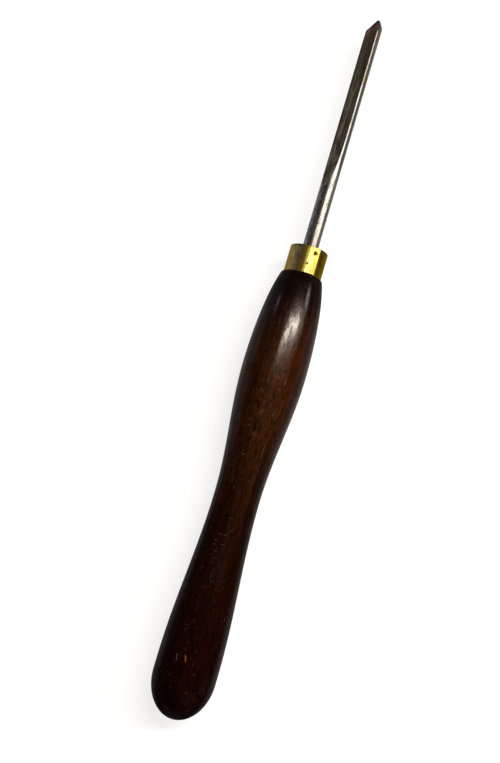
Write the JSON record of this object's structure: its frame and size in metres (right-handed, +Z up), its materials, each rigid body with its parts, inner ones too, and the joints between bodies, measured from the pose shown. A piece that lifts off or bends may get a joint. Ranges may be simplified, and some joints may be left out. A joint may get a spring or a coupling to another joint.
{
  "type": "spindle gouge",
  "caption": "Woodturning gouge: a round steel bar with a milled flute and fingernail bevel, driven into a turned dark hardwood handle with a brass ferrule.",
  "frame": {"origin": "middle of the tool's length, on the bench plane under the tool's axis", "axes": "+X along the tool's axis from butt to nose, +Z up from the bench, +Y to the side that the flute is rolled towards"},
  "size_m": [0.4336, 0.0378, 0.0379],
  "materials": {
    "handle_wood": "dark stained open-grained hardwood under a glossy lacquer",
    "ferrule_brass": "brass tube with brown tarnish, rubbed bright in places, and two punch marks",
    "blade_steel": "dark patinated tool steel, brown in the flute and heat tinted at the nose"
  },
  "bodies": {
    "root": {"handle": "handle_wood", "ferrule": "ferrule_brass", "blade": "blade_steel"}
  },
  "joints": []
}
